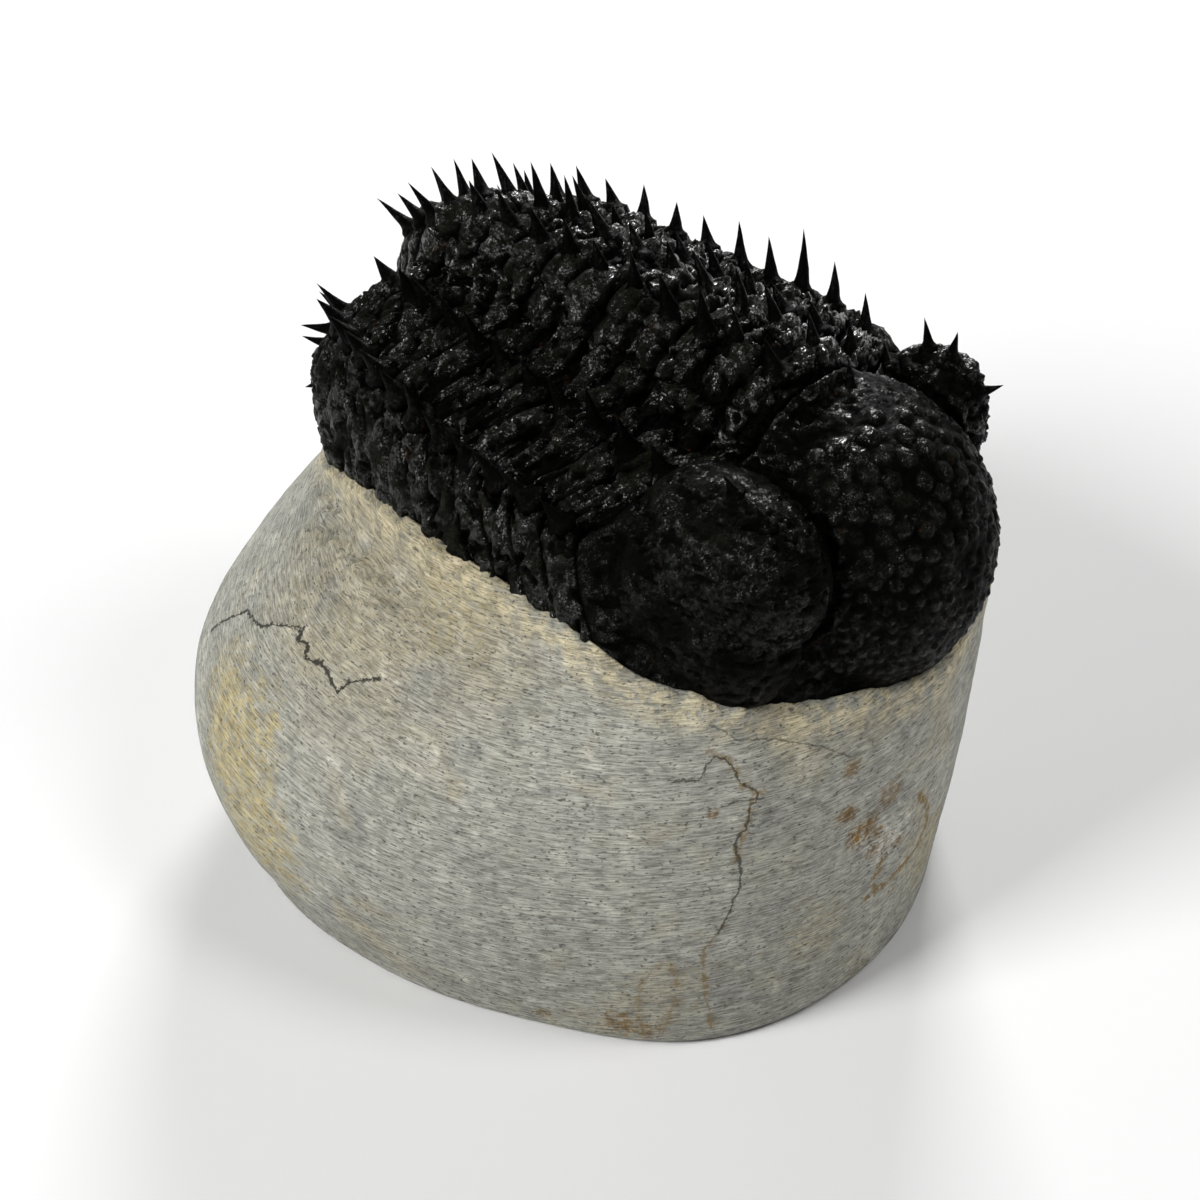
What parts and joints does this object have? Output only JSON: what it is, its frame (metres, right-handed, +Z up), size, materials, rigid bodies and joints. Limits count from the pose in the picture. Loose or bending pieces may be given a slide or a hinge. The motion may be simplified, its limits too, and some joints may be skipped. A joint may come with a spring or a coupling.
{
  "type": "fossil trilobite",
  "caption": "Spiny, large-eyed black trilobite fossil, its back prepared free and arched over a smooth ground lump of pale limestone that stands on its own flat foot.",
  "frame": {"origin": "middle of the limestone lump's flat foot, on the surface that it stands on", "axes": "+Z up, square to the flat foot; +X along the animal's length, towards its head; +Y towards the animal's left side"},
  "size_m": [0.091, 0.0843, 0.0774],
  "materials": {
    "fossil_shell": "near-black fossil shell with a varnish-like gloss",
    "limestone": "pale grey limestone, ground smooth, dull"
  },
  "bodies": {
    "root": {"matrix_rock": "limestone", "cephalon": "fossil_shell", "thorax_segment_01": "fossil_shell", "thorax_segment_02": "fossil_shell", "thorax_segment_03": "fossil_shell", "thorax_segment_04": "fossil_shell", "thorax_segment_05": "fossil_shell", "thorax_segment_06": "fossil_shell", "thorax_segment_07": "fossil_shell", "thorax_segment_08": "fossil_shell", "thorax_segment_09": "fossil_shell", "thorax_segment_10": "fossil_shell", "thorax_segment_11": "fossil_shell", "pygidium": "fossil_shell"}
  },
  "joints": []
}
